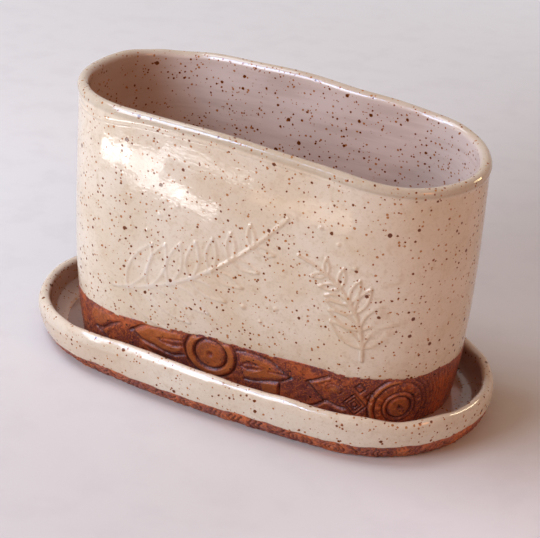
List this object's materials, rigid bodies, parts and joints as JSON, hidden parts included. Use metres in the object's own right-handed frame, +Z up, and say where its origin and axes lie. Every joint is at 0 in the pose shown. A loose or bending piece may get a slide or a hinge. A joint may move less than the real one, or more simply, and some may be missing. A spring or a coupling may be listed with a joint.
{
  "type": "oval planter with saucer",
  "caption": "Tall oval hand-built planter with an uneven rolled rim and a bare stamped band at its foot, standing loose in a low oval saucer.",
  "frame": {"origin": "middle of the saucer's underside, on the surface that it stands on", "axes": "+X along the length of the planter and the saucer, towards the lower end of the rim; +Y across; +Z up"},
  "size_m": [0.295, 0.152, 0.1738],
  "materials": {
    "planter_glaze": "glossy cream glaze with rust and brown iron speckles",
    "saucer_glaze": "glossy cream glaze with rust and brown iron speckles",
    "bare_clay": "bare red-brown stoneware, satin, darker in the stamped recesses"
  },
  "bodies": {
    "saucer": {"saucer_floor": "saucer_glaze", "saucer_band": "bare_clay", "saucer_wall": "saucer_glaze"},
    "planter": {"planter_floor": "planter_glaze", "planter_band": "bare_clay", "planter_wall": "planter_glaze", "planter_rim": "planter_glaze"}
  },
  "joints": [
    {"name": "planter_lift", "type": "slide", "parent": "saucer", "child": "planter", "axis": [0, 0, 1], "range_m": [0, 0.08]}
  ]
}
